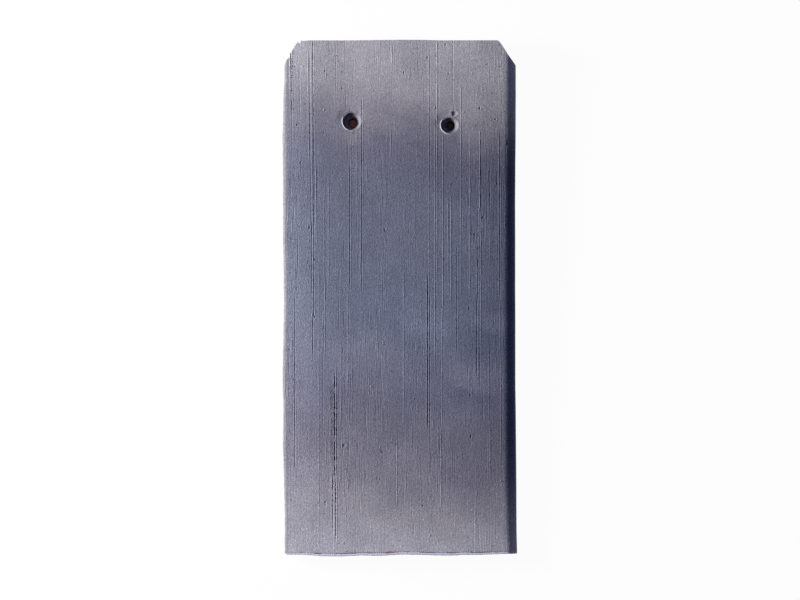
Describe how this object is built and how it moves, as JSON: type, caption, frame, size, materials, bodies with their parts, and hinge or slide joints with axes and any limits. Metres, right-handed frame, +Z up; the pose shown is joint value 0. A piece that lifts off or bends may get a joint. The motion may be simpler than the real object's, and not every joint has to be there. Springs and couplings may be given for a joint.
{
  "type": "clay roof tile",
  "caption": "Flat rectangular clay roof tile with clipped head corners, tapered nail holes and a hanging nib underneath, laid in overlapping courses on battens.",
  "frame": {"origin": "on the floor that the tile lies on, under the middle of its length and width", "axes": "+Z up, +Y towards the head of the tile (nib and nail holes), +X to the right seen from above with the head away; the tile lies face up on its tail edge and the crest of its nib, so its head stands about 15 mm higher than its tail"},
  "size_m": [0.18, 0.4002, 0.0302],
  "materials": {
    "engobed_clay": "satin"
  },
  "bodies": {
    "root": {"roof_tile": "engobed_clay"}
  },
  "joints": []
}
